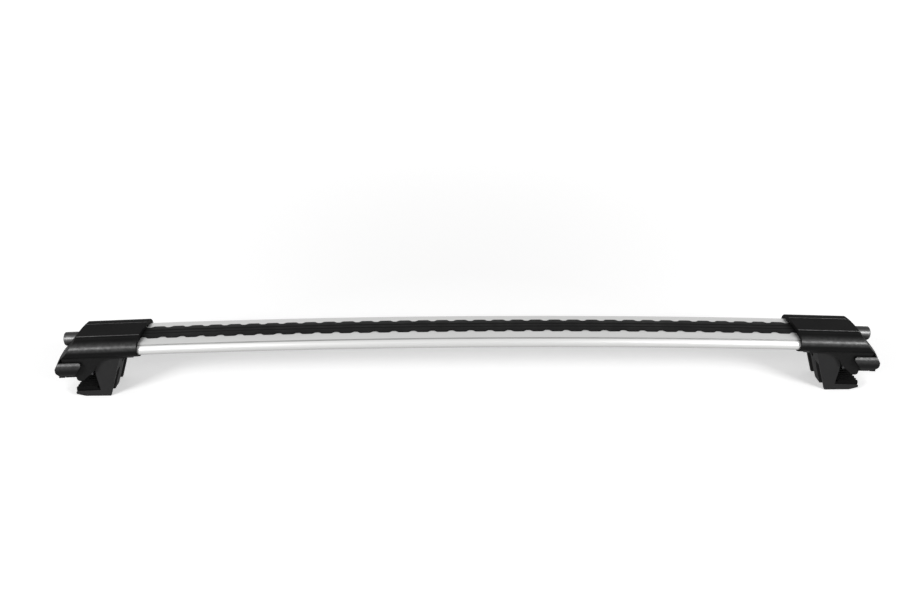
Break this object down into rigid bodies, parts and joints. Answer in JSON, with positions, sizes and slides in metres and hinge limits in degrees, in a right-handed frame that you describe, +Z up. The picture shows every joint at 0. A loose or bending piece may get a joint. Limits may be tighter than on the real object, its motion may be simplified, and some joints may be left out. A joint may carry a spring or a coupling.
{
  "type": "roof rack crossbar",
  "caption": "Arched aero-section aluminium roof crossbar with a scalloped rubber strip and black hooked clamp feet with lockable end doors for raised rails.",
  "frame": {"origin": "on the floor under the middle of the bar, at the bottom centre of the bounding box", "axes": "+X along the bar to the right as seen from the front, +Y across the bar to the back, +Z up"},
  "size_m": [1.1892, 0.0864, 0.0984],
  "materials": {
    "bar_aluminium": "satin anodised silver",
    "strip_rubber": "matt black",
    "cover_plastic": "satin black, fine grain",
    "door_plastic": "satin black, fine grain",
    "leg_plastic": "matt black",
    "pad_rubber": "matt black",
    "cast_bracket": "cast, dark coated",
    "zinc_steel": "zinc plated",
    "dark_steel": "black oxide",
    "lock_black": "gloss black",
    "lock_metal": "turned"
  },
  "bodies": {
    "bar": {"crossbar": "bar_aluminium", "rubber_strip": "strip_rubber", "left_bar_plug": "leg_plastic", "right_bar_plug": "leg_plastic"},
    "left_foot": {"left_foot_cover": "cover_plastic", "left_saddle_bracket": "cast_bracket", "left_saddle_pad": "pad_rubber", "left_slide_nuts": "zinc_steel", "left_saddle_screws": "zinc_steel", "left_nut_washer": "zinc_steel", "left_door_pins": "dark_steel", "left_lock_barrel": "lock_black"},
    "left_leg": {"left_clamp_leg": "leg_plastic", "left_lip_pad": "pad_rubber", "left_clamp_stud": "zinc_steel"},
    "left_nut": {"left_sleeve_nut": "zinc_steel"},
    "left_door": {"left_end_door": "door_plastic"},
    "left_lock": {"left_lock_plug": "lock_metal", "left_lock_cam": "zinc_steel"},
    "right_foot": {"right_foot_cover": "cover_plastic", "right_saddle_bracket": "cast_bracket", "right_saddle_pad": "pad_rubber", "right_slide_nuts": "zinc_steel", "right_saddle_screws": "zinc_steel", "right_nut_washer": "zinc_steel", "right_door_pins": "dark_steel", "right_lock_barrel": "lock_black"},
    "right_leg": {"right_clamp_leg": "leg_plastic", "right_lip_pad": "pad_rubber", "right_clamp_stud": "zinc_steel"},
    "right_nut": {"right_sleeve_nut": "zinc_steel"},
    "right_door": {"right_end_door": "door_plastic"},
    "right_lock": {"right_lock_plug": "lock_metal", "right_lock_cam": "zinc_steel"}
  },
  "joints": [
    {"name": "left_foot_slide", "type": "slide", "parent": "bar", "child": "left_foot", "axis": [-0.9993, 0, -0.0366], "range_m": [-0.012, 0.012]},
    {"name": "left_nut_turn", "type": "hinge", "parent": "left_foot", "child": "left_nut", "pos_m": [-0.57884, 0, 0.04432], "axis": [-0.9993, 0, -0.0366], "range_deg": [0, 7920]},
    {"name": "left_leg_slide", "type": "slide", "parent": "left_foot", "child": "left_leg", "axis": [0.9993, 0, 0.0366], "range_m": [0, 0.022]},
    {"name": "left_door_hinge", "type": "hinge", "parent": "left_foot", "child": "left_door", "pos_m": [-0.56942, 0, 0.04667], "axis": [0, -1, 0], "range_deg": [0, 45]},
    {"name": "left_lock_turn", "type": "hinge", "parent": "left_foot", "child": "left_lock", "pos_m": [-0.58012, 0, 0.0794], "axis": [0.9993, 0, 0.0366], "range_deg": [0, 90]},
    {"name": "right_foot_slide", "type": "slide", "parent": "bar", "child": "right_foot", "axis": [0.9993, 0, -0.0366], "range_m": [-0.012, 0.012]},
    {"name": "right_nut_turn", "type": "hinge", "parent": "right_foot", "child": "right_nut", "pos_m": [0.57884, 0, 0.04432], "axis": [0.9993, 0, -0.0366], "range_deg": [0, 7920]},
    {"name": "right_leg_slide", "type": "slide", "parent": "right_foot", "child": "right_leg", "axis": [-0.9993, 0, 0.0366], "range_m": [0, 0.022]},
    {"name": "right_door_hinge", "type": "hinge", "parent": "right_foot", "child": "right_door", "pos_m": [0.56942, 0, 0.04667], "axis": [0, 1, 0], "range_deg": [0, 45]},
    {"name": "right_lock_turn", "type": "hinge", "parent": "right_foot", "child": "right_lock", "pos_m": [0.58012, 0, 0.0794], "axis": [0.9993, 0, -0.0366], "range_deg": [0, 90]}
  ],
  "couplings": [
    {"joint": "left_leg_slide", "follows": "left_nut_turn", "m_per_rad": 0.00015915},
    {"joint": "right_leg_slide", "follows": "right_nut_turn", "m_per_rad": 0.00015915}
  ]
}
